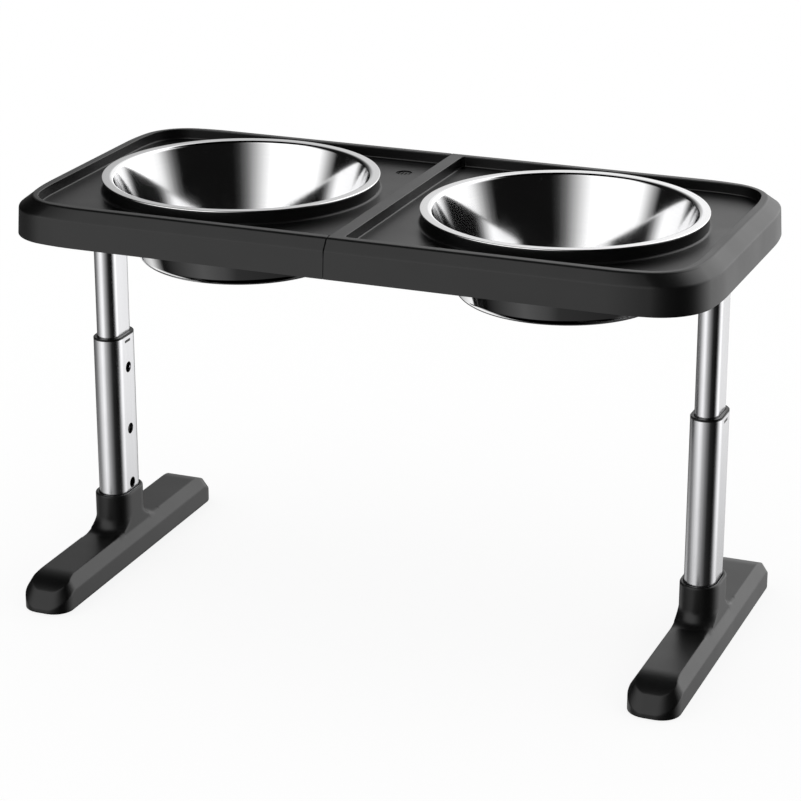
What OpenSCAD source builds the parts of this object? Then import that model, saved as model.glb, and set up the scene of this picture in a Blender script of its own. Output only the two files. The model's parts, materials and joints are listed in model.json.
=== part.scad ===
// Dog feeder stand: two steel bowls in a tray of two halves on telescoping legs.
// Millimetres, Z up, floor at Z = 0, X along the tray, +Y to the back.

/* [Tray] */
// Length of the tray
tray_l = 600; // [580:2:660]
// Width of the tray
tray_w = 295; // [284:1:340]
// Height of the skirt's lower edge above the floor at the middle setting
tray_z = 331; // [318:1:345]
// Corner radius in plan
corner_r = 55; // [40:1:75]
// Height of the upright skirt
skirt_h = 22.4; // [20:0.1:30]
// Inward lean of the skirt
skirt_in = 1.3; // [0:0.1:2]
// Rise of the bevel above the skirt
bevel_rise = 9.5; // [6:0.1:12]
// Inward run of the skirt and bevel together
bevel_in = 10.4; // [8:0.1:14]
// Width of the flat strip on top of the rim
rim_w = 6.6; // [5:0.2:9]
// Depth of the deck below the rim
deck_drop = 8.6; // [5:0.2:10]
// Radius where the rim meets the deck
deck_fillet = 1.5; // [0.5:0.1:3]
// Wall of the moulded shell
shell_t = 2.8; // [2:0.1:3.4]
// Width of the rib between the two decks
rib_w = 12; // [10:0.5:16]

/* [Collar and drain dimple] */
// Height of the bowl collar above the deck
collar_h = 10.2; // [6:0.2:16]
// How far the bowl's flange reaches past the collar
flange_over = 1.2; // [0.6:0.1:2.5]
// Wall of the collar
collar_t = 3; // [2:0.1:4]
// Inward lip that carries the flange
seat_w = 2; // [1.5:0.1:3]
// Radius at the foot of the collar
collar_fillet = 2.5; // [1:0.1:4]
// Drop of the collar's stiffening ring below the deck
ring_drop = 8; // [4:0.5:14]
// Radius of the round drain dimple
dimple_r = 7; // [5:0.5:9]
// Depth of the drain dimple
dimple_d = 0.8; // [0.4:0.1:1.2]
// Distance of the dimple from the tray's middle along X
dimple_x = 33.5; // [28:0.5:40]
// Distance of the dimple from the tray's middle along Y
dimple_y = 94; // [85:1:105]
// Width of one drain slot
slot_w = 1.2; // [0.8:0.1:1.6]
// Distance between drain slots
slot_pitch = 3; // [2.4:0.1:3.6]

/* [Bowls] */
// Outer radius of the flange
flange_r = 117.5; // [116:0.5:119]
// Thickness of the hemmed flange
flange_t = 1.6; // [1.2:0.1:2]
// Outer radius of the wall just under the flange
mouth_r = 108.7; // [100:0.1:109.5]
// Depth from the flange to the underside
bowl_depth = 73.4; // [50:0.2:90]
// Radius of the flat bottom
bottom_r = 79.1; // [60:0.1:85]
// Outside radius at the bottom corner
bottom_fillet = 10; // [6:0.2:16]
// How far a bowl's middle sits from the middle of its deck towards the rib
bowl_shift = 0.8; // [0:0.1:1.5]
// Sheet thickness
sheet_t = 0.8; // [0.5:0.1:1.2]

/* [Legs] */
// Distance of a leg's middle from the end of the tray
leg_inset = 29.2; // [28.8:0.1:30]
// Width of the lower tube along X
lower_w = 27; // [26:0.2:28]
// Width of the lower tube along Y
lower_l = 45; // [42:0.5:52]
// Wall of the lower tube
lower_t = 1.5; // [1:0.1:1.8]
// Top of the lower tube above the floor
lower_top = 206.9; // [198:0.5:215]
// Width of the upper tube along X
upper_w = 20.4; // [19.6:0.1:20.8]
// Width of the upper tube along Y
upper_l = 38.4; // [36:0.2:38.8]
// Wall of the upper tube
upper_t = 1.2; // [1:0.1:1.6]
// Lower end of the upper tube at the middle setting
upper_bottom = 100; // [97:0.5:104]
// Running gap between parts that slide
slide_gap = 0.3; // [0.25:0.05:0.4]
// Assembly gap between parts that are pushed together
push_gap = 0.2; // [0.1:0.05:0.3]
// Diameter of the height holes
hole_d = 9.8; // [9.6:0.1:10.4]
// Height of the middle hole above the floor
hole_mid = 120.7; // [118:0.5:125]
// Distance from the middle hole up to the next
pitch_up = 57.6; // [50:0.2:59]
// Distance from the middle hole down to the next
pitch_down = 51.4; // [45:0.2:52]
// Wall of the socket that holds the upper tube under the deck
sleeve_t = 3; // [2:0.1:3.4]
// Height of the socket's lower end above the skirt's lower edge
sleeve_z = 1; // [0.5:0.5:4]
// Thickness of the stiffening webs under the deck
web_t = 2.2; // [1.6:0.1:3]
// Height of the stiffening webs
web_h = 9.5; // [6:0.5:9.5]

/* [Bushing and glide] */
// Thickness of the bushing's ring on top of the lower tube
ring_t = 1.8; // [1.2:0.1:2.4]
// Radius on the ring's outer edges
ring_round = 0.6; // [0.3:0.1:0.8]
// Length of the bushing's sleeve inside the tube
bush_l = 22; // [14:0.5:23]
// Width of the snap windows along Y
window_l = 10; // [7:0.5:14]
// Height of the snap windows
window_h = 2.4; // [1.6:0.1:3]
// Distance of the snap windows below the top of the tube
window_drop = 3; // [2:0.1:5]
// Thickness of the glide's floor
glide_floor = 4; // [2.5:0.5:5]
// Height of the glide's wall around the tube
glide_h = 12; // [8:0.5:14]

/* [Snap buttons] */
// Diameter of the button
button_d = 9.2; // [8.6:0.1:9.3]
// How far the pressed button stands out of the upper tube
button_tip = 1.2; // [0.8:0.1:1.4]
// Travel of the button from pressed to out
button_travel = 4; // [3.5:0.1:4.2]
// Diameter of the button's head inside the tube
button_head = 12.4; // [11:0.2:14]
// Thickness of the button's head
button_head_t = 2; // [1.5:0.1:2.5]
// Gap between the button and the tube hole around it
button_gap = 0.1; // [0.05:0.01:0.15]
// Width of the leaf spring
spring_w = 8; // [5:0.5:10]
// Thickness of the leaf spring
spring_t = 0.6; // [0.4:0.1:0.8]
// Height of the spring's bend above the button
spring_rise = 16; // [10:0.5:20]

/* [Feet] */
// Length of a foot
foot_l = 299; // [270:1:330]
// Width of a foot
foot_w = 44; // [42:0.5:52]
// Height of the foot's flat top above the floor
foot_h = 29; // [26:0.5:34]
// Height of the foot's upright side
foot_side = 18.5; // [16:0.5:20]
// Inward run of the foot's side bevel
foot_bevel = 6.3; // [4:0.1:7]
// Corner radius of the foot in plan
foot_corner = 17; // [14:0.5:18]
// Corner radius of the bevel at the top of the upright side
roof_r = 16; // [12:0.5:18]
// Length of the curved toe
toe_run = 34.5; // [30:0.5:38]
// Radius of the curved toe
toe_r = 40; // [39:0.5:50]
// Height of the upright nose under the bevel
nose_h = 8; // [5:0.5:10]
// Wall of the socket around the lower tube
socket_t = 3; // [2.2:0.1:3.6]
// Gap between the lower tube and its socket
socket_gap = 0.4; // [0.2:0.05:0.6]
// Top of the socket above the floor
socket_top = 63; // [54:0.5:64]
// Bevel on the socket's upper edge
socket_edge = 0.8; // [0.4:0.1:1.2]
// Radius where the socket runs onto the foot
socket_fillet = 12; // [6:0.5:14]
// Level in the socket on which the tube stands
seat_z = 12; // [10:0.5:14]
// Wall of the hollow foot
foot_t = 3; // [2.2:0.1:4]
// Half length of the solid middle of the foot
core_l = 38; // [36:0.5:44]

/* [Foot fixings and pads] */
// Height of the plug in the lower end of the tube
insert_h = 28; // [20:0.5:28]
// Diameter of the holes that lighten the plug
insert_hole = 9.6; // [6:0.2:11]
// Distance of those holes from the plug's middle
insert_hole_y = 12; // [11:0.2:13]
// Length of bolt thread in the plug
thread_l = 22; // [14:0.5:24]
// Diameter of the foot bolt
bolt_d = 8; // [6:0.5:9]
// Diameter of the foot bolt's head
bolt_head = 16; // [13:0.5:18]
// Thickness of the foot bolt's head
bolt_head_t = 4.5; // [3.5:0.1:5]
// Depth of the recess for the bolt's head
recess_d = 6; // [5:0.2:6.5]
// Gap around the bolt's head in its recess
recess_gap = 1; // [0.5:0.1:1.5]
// Thickness of a rubber pad
pad_t = 3; // [2:0.2:4]
// How far a pad stands out under the foot
pad_out = 1; // [0.5:0.1:1.8]
// Width of a pad
pad_w = 21; // [16:0.5:26]
// Length of a pad
pad_l = 26; // [20:0.5:30]
// Corner radius of a pad
pad_r = 5; // [3:0.5:7]
// Distance of a pad's middle from the end of the foot
pad_end = 28; // [24:0.5:36]

/* [Screws] */
// Diameter of the tube screws
tube_screw_d = 4; // [3:0.5:5]
// Diameter of the tube screws' heads
tube_head_d = 8; // [6.5:0.5:9]
// Thickness of the tube screws' heads
tube_head_t = 2.4; // [1.8:0.1:3]
// Length of the tube screws under the head
tube_screw_l = 11; // [9:0.5:14]
// Height of the tube screws above the skirt's lower edge
tube_screw_z = 6; // [6:0.1:7]
// How far the screw bosses stand out of the socket
boss_out = 1.5; // [1:0.1:3]
// Ring of boss around a screw head
boss_rim = 1; // [0.5:0.1:1]
// Diameter of the joiner bolts
joiner_d = 5; // [4:0.5:6]
// Diameter of the joiner bolts' heads
joiner_head_d = 9; // [7.5:0.5:10]
// Thickness of the joiner bolts' heads
joiner_head_t = 3; // [2:0.1:4]
// Width across flats of the joiner nuts
nut_w = 8; // [7.5:0.5:10]
// Thickness of the joiner nuts
nut_t = 4; // [3:0.1:5]
// Length of bolt standing out of a joiner nut
joiner_end = 1.2; // [0.5:0.1:2]
// Height of the joiner bolts above the skirt's lower edge
joiner_z = 10; // [8:0.5:13]
// Distance of the outer joiner bolts from the middle
joiner_y = 105; // [95:1:112]
// Distance of the inner joiner bolts from the middle
joiner_y2 = 35; // [25:1:45]

/* [Hidden] */
$fn = 96;
eps = 0.01;
rim_top = skirt_h + bevel_rise;
deck_top = rim_top - deck_drop;
deck_under = deck_top - shell_t;
rim_in = bevel_in + rim_w;
bowl_x = (rib_w / 2 + tray_l / 2 - rim_in) / 2 - bowl_shift;
leg_x = tray_l / 2 - leg_inset;
seam_x = -rib_w / 2;
bevel_run = bevel_in - skirt_in;
bevel_lift = shell_t * (norm([bevel_run, bevel_rise]) - bevel_rise) / bevel_run;
collar_r = flange_r - flange_over;
collar_top = deck_top + collar_h;
hole_r = collar_r - collar_t;
seat_r = hole_r - seat_w;
lean = acos(bottom_fillet / norm([mouth_r - bottom_r, bowl_depth - flange_t - bottom_fillet]))
     - atan2(bowl_depth - flange_t - bottom_fillet, mouth_r - bottom_r);
bowl_z = tray_z + collar_top + flange_t - bowl_depth;
upper_top = tray_z + deck_under;
sleeve_w = upper_w + 2 * push_gap + 2 * sleeve_t;
sleeve_l = upper_l + 2 * push_gap + 2 * sleeve_t;
boss_y = sleeve_l / 2 + boss_out;
boss_d = tube_head_d + 2 * boss_rim;
lower_in_w = lower_w - 2 * lower_t;
lower_in_l = lower_l - 2 * lower_t;
button_hole = button_d + 2 * button_gap;
head_x = upper_w / 2 - upper_t - button_travel - push_gap;
bend_r = (head_x - button_head_t + upper_w / 2 - upper_t) / 2;
socket_w = lower_w + 2 * socket_gap + 2 * socket_t;
socket_l = lower_l + 2 * socket_gap + 2 * socket_t;
toe_y = foot_l / 2 - toe_run;
roof_k = foot_bevel / (foot_h - foot_side);
roof_y = foot_l / 2 - roof_k * (foot_side - nose_h);
bolt_seat = pad_out + recess_d;
pad_y = foot_l / 2 - pad_end;
joiner_ys = [-joiner_y, -joiner_y2, joiner_y2, joiner_y];
black = [0.13, 0.13, 0.14];
steel = [0.80, 0.80, 0.82];
alloy = [0.72, 0.73, 0.75];
zinc = [0.60, 0.61, 0.63];
rubber = [0.08, 0.08, 0.08];

// Place on the left leg, with local +X towards the middle of the stand
module at_left() translate([-leg_x, 0, 0]) children();

// The mirror image of that place
module at_right() mirror([1, 0, 0]) at_left() children();

// Slot shape with straight sides along Y
module stadium(w, l) {
    square([w, l - w], center = true);
    for (s = [-1, 1]) translate([0, s * (l - w) / 2]) circle(w / 2);
}

// Rectangle with round corners
module round_rect(w, l, r) {
    square([w - 2 * r, l], center = true);
    square([w, l - 2 * r], center = true);
    for (sx = [-1, 1], sy = [-1, 1]) translate([sx * (w / 2 - r), sy * (l / 2 - r)]) circle(r);
}

// Upright tube with the slot section
module slot_tube(w, l, t, z0, z1) translate([0, 0, z0]) linear_extrude(z1 - z0) difference() {
    stadium(w, l);
    stadium(w - 2 * t, l - 2 * t);
}

// Section of the rim: inward run along X, height along Y
module rim_section() {
    polygon([[0, 0], [skirt_in, skirt_h], [bevel_in, rim_top], [rim_in, rim_top], [rim_in, deck_under],
             [rim_in - shell_t, deck_under], [rim_in - shell_t, rim_top - shell_t],
             [bevel_in + bevel_lift - shell_t / 2, rim_top - shell_t],
             [skirt_in + shell_t, skirt_h - bevel_lift], [shell_t, 0]]);
    difference() {
        translate([rim_in, deck_top]) square(deck_fillet);
        translate([rim_in + deck_fillet, deck_top + deck_fillet]) circle(deck_fillet);
    }
}

// Closed outline of the tray across its width, with its middle at the given level
module cross_outline(mid) {
    h = tray_w / 2;
    polygon([[-h, 0], [skirt_in - h, skirt_h], [bevel_in - h, rim_top],
             [rim_in - h, rim_top], [rim_in - h, mid],
             [h - rim_in, mid], [h - rim_in, rim_top],
             [h - bevel_in, rim_top], [h - skirt_in, skirt_h], [h, 0]]);
}

// Plate standing across the tray
module cross_plate(x, t, mid) translate([x, 0, 0]) rotate([90, 0, 90]) linear_extrude(t) difference() {
    cross_outline(mid);
    for (y = joiner_ys) translate([y, joiner_z]) circle(joiner_d / 2 + push_gap);
}

// Collar ring that carries the bowl
module collar() rotate_extrude() {
    polygon([[hole_r, deck_under - ring_drop], [collar_r, deck_under - ring_drop], [collar_r, collar_top],
             [seat_r, collar_top], [seat_r, collar_top - shell_t], [hole_r, collar_top - shell_t]]);
    difference() {
        translate([collar_r, deck_top]) square(collar_fillet);
        translate([collar_r + collar_fillet, deck_top + collar_fillet]) circle(collar_fillet);
    }
}

// Socket, screw bosses and webs for one leg, in the leg's place
module leg_socket() {
    translate([0, 0, sleeve_z]) linear_extrude(deck_under - sleeve_z) stadium(sleeve_w, sleeve_l);
    for (s = [-1, 1]) {
        translate([0, s * boss_y, tube_screw_z]) rotate([s * 90, 0, 0]) cylinder(d = boss_d, h = boss_y);
        translate([-web_t / 2, s > 0 ? 0 : rim_in - tray_w / 2, deck_under - web_h])
            cube([web_t, tray_w / 2 - rim_in, web_h + eps]);
    }
}

// Bore of that socket and its screw holes
module leg_bore() {
    linear_extrude(deck_under) stadium(upper_w + 2 * push_gap, upper_l + 2 * push_gap);
    for (s = [-1, 1]) translate([0, 0, tube_screw_z]) rotate([s * 90, 0, 0])
        cylinder(d = tube_screw_d + 2 * push_gap, h = boss_y + eps);
}

// One half of the tray, end at the left, reaching len along X from that end
module half_tray(len, mid) difference() {
    union() {
        for (s = [0, 1]) mirror([0, s, 0]) {
            translate([corner_r - tray_l / 2, -tray_w / 2, 0])
                rotate([90, 0, 90]) linear_extrude(len - corner_r) rim_section();
            translate([corner_r - tray_l / 2, corner_r - tray_w / 2, 0]) rotate([0, 0, 180])
                rotate_extrude(angle = 90) translate([corner_r, 0]) mirror([1, 0]) rim_section();
        }
        translate([-tray_l / 2, tray_w / 2 - corner_r, 0])
            rotate([90, 0, 0]) linear_extrude(tray_w - 2 * corner_r) rim_section();
        translate([0, 0, deck_under]) linear_extrude(shell_t) intersection() {
            round_rect(tray_l - 2 * rim_in + shell_t, tray_w - 2 * rim_in + shell_t,
                       corner_r - rim_in + shell_t / 2);
            translate([-tray_l / 2, -tray_w / 2]) square([len, tray_w]);
        }
        cross_plate(len - tray_l / 2 - shell_t, shell_t, mid);
        translate([-bowl_x, 0, 0]) collar();
        at_left() leg_socket();
    }
    translate([-bowl_x, 0, deck_under - eps]) cylinder(r = hole_r, h = shell_t + 2 * eps);
    translate([-bowl_x, 0, -eps]) cylinder(r = hole_r, h = deck_under);
    at_left() leg_bore();
    translate([-dimple_x, dimple_y, deck_top - dimple_d]) cylinder(r = dimple_r, h = shell_t);
    for (i = [-1.5 : 1.5]) translate([-dimple_x + i * slot_pitch, dimple_y, deck_under - eps])
        linear_extrude(shell_t) stadium(slot_w, dimple_r);
}

module left_tray() color(black) translate([0, 0, tray_z]) half_tray(tray_l / 2 + seam_x, deck_top);

// The right half carries the rib between the decks
module right_tray() color(black) translate([0, 0, tray_z]) {
    mirror([1, 0, 0]) half_tray(tray_l / 2 - seam_x, rim_top);
    translate([seam_x, rim_in - tray_w / 2, rim_top - shell_t]) cube([rib_w, tray_w - 2 * rim_in, shell_t]);
    translate([-seam_x - shell_t, rim_in - tray_w / 2, deck_under])
        cube([shell_t, tray_w - 2 * rim_in, rim_top - deck_under]);
}

// Bolts that clamp the two end walls together
module joiner_bolts() color(zinc) for (y = joiner_ys)
    translate([seam_x - shell_t, y, tray_z + joiner_z]) rotate([0, 90, 0]) {
        cylinder(d = joiner_d, h = 2 * shell_t + nut_t + joiner_end);
        translate([0, 0, -joiner_head_t]) difference() {
            cylinder(d = joiner_head_d, h = joiner_head_t);
            translate([0, 0, -eps]) cylinder(d = joiner_head_d / 2, h = joiner_head_t / 2, $fn = 6);
        }
    }

module joiner_nuts() color(zinc) for (y = joiner_ys)
    translate([seam_x + shell_t, y, tray_z + joiner_z]) rotate([0, 90, 0]) difference() {
        cylinder(d = nut_w / cos(30), h = nut_t, $fn = 6);
        translate([0, 0, -eps]) cylinder(d = joiner_d + push_gap, h = nut_t + 2 * eps);
    }

// Filled section of the bowl, offset inward by t and open above when t is not zero
module bowl_fill(t) {
    r = bottom_fillet - t;
    h = bowl_depth + t;
    tip = [bottom_r + r * cos(lean), bottom_fillet - r * sin(lean)];
    polygon([[0, t], [bottom_r, t], tip, [tip[0] + (h - tip[1]) * tan(lean), h], [0, h]]);
    translate([bottom_r, bottom_fillet]) circle(r);
}

module bowl() color(steel) translate([-bowl_x, 0, bowl_z]) rotate_extrude($fn = 144) difference() {
    union() {
        intersection() {
            bowl_fill(0);
            square([flange_r, bowl_depth - flange_t / 2]);
        }
        translate([0, bowl_depth - flange_t]) square([flange_r - flange_t / 2, flange_t]);
        translate([flange_r - flange_t / 2, bowl_depth - flange_t / 2]) circle(flange_t / 2);
    }
    bowl_fill(sheet_t);
}

module left_bowl() bowl();

module right_bowl() mirror([1, 0, 0]) bowl();

// Upper tube with the button hole in its inner face and the screw holes near its top
module upper_tube() color(alloy) difference() {
    slot_tube(upper_w, upper_l, upper_t, upper_bottom, upper_top);
    translate([0, 0, hole_mid]) rotate([0, 90, 0]) cylinder(d = button_hole, h = upper_w);
    translate([0, 0, tray_z + tube_screw_z]) rotate([90, 0, 0])
        cylinder(d = tube_screw_d + push_gap, h = 2 * upper_l, center = true);
}

module left_upper_tube() at_left() upper_tube();

module right_upper_tube() at_right() upper_tube();

// Two screws through the socket into the tube
module tube_screws() color(zinc) for (s = [-1, 1])
    translate([0, s * boss_y, tray_z + tube_screw_z]) rotate([s * 90, 0, 0]) {
        cylinder(d = tube_screw_d, h = tube_screw_l);
        translate([0, 0, -tube_head_t]) difference() {
            cylinder(d = tube_head_d, h = tube_head_t);
            translate([0, 0, -eps]) cylinder(d = tube_head_d / 2, h = tube_head_t / 2, $fn = 6);
        }
    }

module left_tube_screws() at_left() tube_screws();

module right_tube_screws() at_right() tube_screws();

// Cap on the upper tube's lower end that runs inside the lower tube
module glide() color(black) difference() {
    translate([0, 0, upper_bottom - glide_floor]) linear_extrude(glide_floor + glide_h)
        stadium(lower_in_w - 2 * slide_gap, lower_in_l - 2 * slide_gap);
    translate([0, 0, upper_bottom]) linear_extrude(glide_h + eps)
        stadium(upper_w + push_gap, upper_l + push_gap);
}

module left_glide() at_left() glide();

module right_glide() at_right() glide();

// Bent leaf spring behind the button, its back against the outer wall of the tube
module leaf_spring() color(steel) translate([head_x - button_head_t - bend_r, spring_w / 2, hole_mid])
    rotate([90, 0, 0]) linear_extrude(spring_w) difference() {
        union() {
            translate([0, spring_rise]) circle(bend_r);
            translate([-bend_r, -button_head / 2]) square([2 * bend_r, spring_rise + button_head / 2]);
        }
        translate([0, spring_rise]) circle(bend_r - spring_t);
        translate([spring_t - bend_r, -button_head])
            square([2 * (bend_r - spring_t), spring_rise + button_head]);
    }

module left_spring() at_left() leaf_spring();

module right_spring() at_right() leaf_spring();

// Snap button, drawn pressed in
module snap_button() color(black) translate([0, 0, hole_mid]) rotate([0, 90, 0]) {
    translate([0, 0, head_x - button_head_t]) cylinder(d = button_head, h = button_head_t);
    translate([0, 0, head_x - eps]) cylinder(d = button_d, h = upper_w / 2 + button_tip - head_x + eps);
}

module left_button() at_left() snap_button();

module right_button() at_right() snap_button();

// Bushing in the top of the lower tube, with a snap tab in each window
module bushing() color(black) difference() {
    union() {
        translate([0, 0, lower_top - bush_l]) linear_extrude(bush_l + eps)
            stadium(lower_in_w - push_gap, lower_in_l - push_gap);
        translate([0, 0, lower_top]) linear_extrude(ring_t - ring_round) stadium(lower_w, lower_l);
        translate([0, 0, lower_top + ring_t - ring_round - eps]) linear_extrude(ring_round + eps)
            stadium(lower_w - 2 * ring_round, lower_l - 2 * ring_round);
        translate([0, 0, lower_top - window_drop - window_h / 2])
            cube([lower_w - push_gap, window_l - push_gap, window_h - push_gap], center = true);
    }
    translate([0, 0, lower_top - bush_l - eps]) linear_extrude(bush_l + ring_t + 2 * eps)
        stadium(upper_w + 2 * slide_gap, upper_l + 2 * slide_gap);
}

module left_bushing() at_left() bushing();

module right_bushing() at_right() bushing();

// Lower tube with three height holes in its inner face and two snap windows
module lower_tube() color(alloy) difference() {
    slot_tube(lower_w, lower_l, lower_t, seat_z, lower_top);
    for (z = [hole_mid - pitch_down, hole_mid, hole_mid + pitch_up])
        translate([0, 0, z]) rotate([0, 90, 0]) cylinder(d = hole_d, h = lower_w);
    translate([0, 0, lower_top - window_drop - window_h / 2])
        cube([2 * lower_w, window_l, window_h], center = true);
}

module left_lower_tube() at_left() lower_tube();

module right_lower_tube() at_right() lower_tube();

// Threaded plug in the lower end of the tube
module tube_insert() color(black) translate([0, 0, seat_z]) linear_extrude(insert_h) difference() {
    stadium(lower_in_w - push_gap, lower_in_l - push_gap);
    circle(d = bolt_d + push_gap);
    for (s = [-1, 1]) translate([0, s * insert_hole_y]) circle(d = insert_hole);
}

module left_insert() at_left() tube_insert();

module right_insert() at_right() tube_insert();

// Side view of the foot under its curved toes, drawn in by t
module foot_profile(t) {
    translate([-toe_y, 0]) square([2 * toe_y, foot_h - t]);
    intersection() {
        for (s = [-1, 1]) translate([s * toe_y, foot_h - toe_r]) circle(toe_r - t);
        translate([t - foot_l / 2, 0]) square([foot_l - 2 * t, foot_h]);
    }
}

// Sloping sides of the bevel from the given half size at the top of the upright side
module roof_section(half) {
    low = half + roof_k * foot_side;
    high = half - roof_k * (foot_h - foot_side);
    polygon([[-low, 0], [-high, foot_h], [high, foot_h], [low, 0]]);
}

// Roof whose slope runs round the whole foot, drawn in by t square to the slope
module foot_roof(t) {
    inset = t * norm([1, roof_k]);
    x = foot_w / 2 - inset;
    y = roof_y - inset;
    r = roof_r - inset;
    rotate([90, 0, 0]) linear_extrude(2 * (y - r), center = true) roof_section(x);
    rotate([90, 0, 90]) linear_extrude(2 * (x - r), center = true) roof_section(y);
    for (sx = [-1, 1], sy = [-1, 1]) translate([sx * (x - r), sy * (y - r), 0])
        cylinder(r1 = r + roof_k * foot_side, r2 = r - roof_k * (foot_h - foot_side), h = foot_h);
}

// Bar of the foot, drawn in by t
module foot_bar(t) intersection() {
    foot_roof(t);
    linear_extrude(foot_h) round_rect(foot_w - 2 * t, foot_l - 2 * t, foot_corner - t);
    rotate([90, 0, 90]) linear_extrude(foot_w, center = true) foot_profile(t);
}

// Half section of the flare where the socket runs onto the bar
module flare_section() difference() {
    translate([0, seat_z]) square([socket_w / 2 + socket_fillet, foot_h + socket_fillet - seat_z]);
    translate([socket_w / 2 + socket_fillet, foot_h + socket_fillet]) circle(socket_fillet);
}

// Flare in front of and behind the socket, cut off flush with the socket's flat sides
module flare() intersection() {
    for (s = [-1, 1]) translate([0, s * (socket_l - socket_w) / 2, 0]) rotate_extrude() flare_section();
    translate([-socket_w / 2, -foot_l / 2, seat_z]) cube([socket_w, foot_l, foot_h + socket_fillet]);
}

// Hollow under one end of the foot, with its ribs left standing
module foot_hollow() difference() {
    intersection() {
        translate([0, 0, -eps]) foot_bar(foot_t);
        translate([-foot_w / 2, core_l, -eps]) cube([foot_w, foot_l, foot_h]);
    }
    translate([-foot_t / 2, core_l - eps, -foot_h / 2]) cube([foot_t, foot_l, 2 * foot_h]);
    translate([-foot_w, (core_l + pad_y - pad_l / 2) / 2 - foot_t / 2, -foot_h / 2])
        cube([2 * foot_w, foot_t, 2 * foot_h]);
    translate([-pad_w / 2 - foot_t, pad_y - pad_l / 2 - foot_t, -foot_h / 2])
        cube([pad_w + 2 * foot_t, pad_l + 2 * foot_t, 2 * foot_h]);
}

module foot() color(black) difference() {
    union() {
        foot_bar(0);
        flare();
        translate([0, 0, seat_z]) linear_extrude(socket_top - socket_edge - seat_z)
            stadium(socket_w, socket_l);
        translate([0, 0, socket_top - socket_edge - eps]) linear_extrude(socket_edge + eps)
            stadium(socket_w - socket_edge, socket_l - socket_edge);
    }
    translate([0, 0, seat_z]) linear_extrude(socket_top)
        stadium(lower_w + 2 * socket_gap, lower_l + 2 * socket_gap);
    translate([-foot_w, -foot_l, -foot_h]) cube([2 * foot_w, 2 * foot_l, foot_h + pad_out]);
    cylinder(d = bolt_d + 2 * push_gap, h = foot_h);
    cylinder(d = bolt_head + 2 * recess_gap, h = bolt_seat);
    for (s = [0, 1]) mirror([0, s, 0]) {
        foot_hollow();
        translate([0, pad_y, 0]) linear_extrude(pad_t)
            round_rect(pad_w + push_gap, pad_l + push_gap, pad_r);
    }
}

module left_foot() at_left() foot();

module right_foot() at_right() foot();

// Bolt from under the foot up into the plug
module foot_bolt() color(zinc) {
    translate([0, 0, bolt_seat - eps]) cylinder(d = bolt_d, h = seat_z + thread_l - bolt_seat);
    translate([0, 0, bolt_seat - bolt_head_t]) difference() {
        cylinder(d = bolt_head, h = bolt_head_t);
        translate([0, 0, -eps]) cylinder(d = bolt_d, h = bolt_head_t / 2, $fn = 6);
    }
}

module left_foot_bolt() at_left() foot_bolt();

module right_foot_bolt() at_right() foot_bolt();

// Rubber pads under the two ends of a foot
module pads() color(rubber) for (s = [-1, 1])
    translate([0, s * pad_y, 0]) linear_extrude(pad_t) round_rect(pad_w, pad_l, pad_r);

module left_pads() at_left() pads();

module right_pads() at_right() pads();

left_tray();
right_tray();
joiner_bolts();
joiner_nuts();
left_bowl();
right_bowl();
left_upper_tube();
right_upper_tube();
left_tube_screws();
right_tube_screws();
left_glide();
right_glide();
left_spring();
right_spring();
left_button();
right_button();
left_bushing();
right_bushing();
left_lower_tube();
right_lower_tube();
left_insert();
right_insert();
left_foot();
right_foot();
left_foot_bolt();
right_foot_bolt();
left_pads();
right_pads();
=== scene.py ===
# %% [markdown]
# Dog feeder stand: two steel bowls hang in a black tray of two halves, on two telescoping legs with long feet.
# The imported CAD part is loaded as the fixed frame of the scene. Its box is kept.

# %% Load the frame
import json
import math

import bmesh
import bpy
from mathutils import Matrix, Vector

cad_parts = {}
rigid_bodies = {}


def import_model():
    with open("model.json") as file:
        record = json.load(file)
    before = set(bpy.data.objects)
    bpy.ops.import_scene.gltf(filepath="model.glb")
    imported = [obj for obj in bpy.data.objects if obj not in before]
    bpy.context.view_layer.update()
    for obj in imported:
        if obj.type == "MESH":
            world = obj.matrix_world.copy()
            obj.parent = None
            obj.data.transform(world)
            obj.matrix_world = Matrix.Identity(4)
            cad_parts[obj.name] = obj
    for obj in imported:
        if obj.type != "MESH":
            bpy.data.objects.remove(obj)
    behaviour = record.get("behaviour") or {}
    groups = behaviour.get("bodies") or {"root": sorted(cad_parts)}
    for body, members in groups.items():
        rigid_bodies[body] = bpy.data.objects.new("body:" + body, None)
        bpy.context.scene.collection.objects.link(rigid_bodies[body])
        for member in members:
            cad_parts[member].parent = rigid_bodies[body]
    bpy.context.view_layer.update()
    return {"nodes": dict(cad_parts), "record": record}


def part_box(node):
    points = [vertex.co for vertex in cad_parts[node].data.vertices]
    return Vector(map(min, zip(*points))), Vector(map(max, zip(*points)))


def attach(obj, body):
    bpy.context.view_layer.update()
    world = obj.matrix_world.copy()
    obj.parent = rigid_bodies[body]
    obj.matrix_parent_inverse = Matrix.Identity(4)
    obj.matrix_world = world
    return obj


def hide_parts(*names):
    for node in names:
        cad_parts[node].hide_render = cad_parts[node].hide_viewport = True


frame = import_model()

# %% [markdown]
# All sizes in this lesson are millimetres, as on a drawing, and Blender's metres are worked out from them. A piece
# starts as a primitive that is emptied in edit mode, so that nothing of the CAD nodes is selected with it.

# %% Units and empty pieces
MM = 0.001
NEAR = 0.01
SIDES = ((-1, "left"), (1, "right"))


def mm(*values):
    return [value * MM for value in values]


def in_mm(box):
    return [[value / MM for value in corner] for corner in box]


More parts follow.
